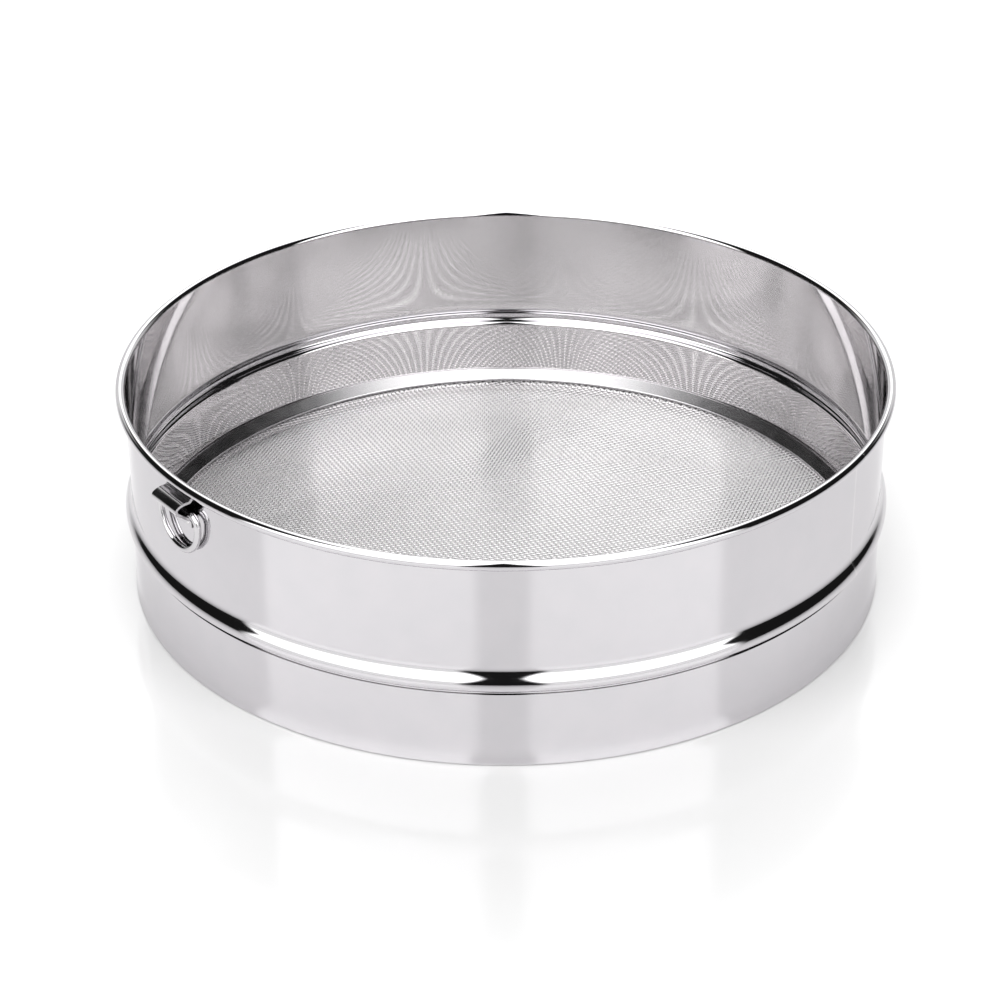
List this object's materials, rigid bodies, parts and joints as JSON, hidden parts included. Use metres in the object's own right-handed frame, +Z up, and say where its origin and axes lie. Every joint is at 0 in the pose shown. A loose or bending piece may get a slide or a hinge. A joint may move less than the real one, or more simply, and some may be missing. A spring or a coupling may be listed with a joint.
{
  "type": "soil sieve",
  "caption": "Round stainless steel drum sieve with a rolled rim, a swaged bead, a woven wire cloth bottom and a small D-ring for hanging it up.",
  "frame": {"origin": "on the hoop's axis, in the plane that the sieve stands on", "axes": "+Z up along the hoop's axis, the ring clip and its hanging ring on the -Y side, +X to the right when looking at the clip from outside"},
  "size_m": [0.3, 0.304, 0.085],
  "materials": {
    "polished_sheet": "mirror polished stainless sheet with faint hoop-wise polishing lines",
    "ring_sheet": "bright rolled stainless sheet",
    "clip_sheet": "bright bent stainless strip",
    "steel_wire": "bright drawn stainless wire",
    "wire_cloth": "plain woven stainless wire cloth, satin",
    "weld_metal": "dressed weld, slightly duller than the sheet"
  },
  "bodies": {
    "sieve": {"body_hoop": "polished_sheet", "body_seam_weld": "weld_metal", "rim_wire": "steel_wire", "skirt_hoop": "polished_sheet", "skirt_seam_weld": "weld_metal", "mesh_cloth": "wire_cloth", "retaining_ring": "ring_sheet", "ring_clip": "clip_sheet", "clip_weld_spots": "weld_metal"},
    "ring": {"hanging_ring": "steel_wire"}
  },
  "joints": [
    {"name": "ring_swing", "type": "hinge", "parent": "sieve", "child": "ring", "pos_m": [0, -0.1483, 0.07406], "axis": [-1, 0, 0], "range_deg": [0, 150]}
  ]
}
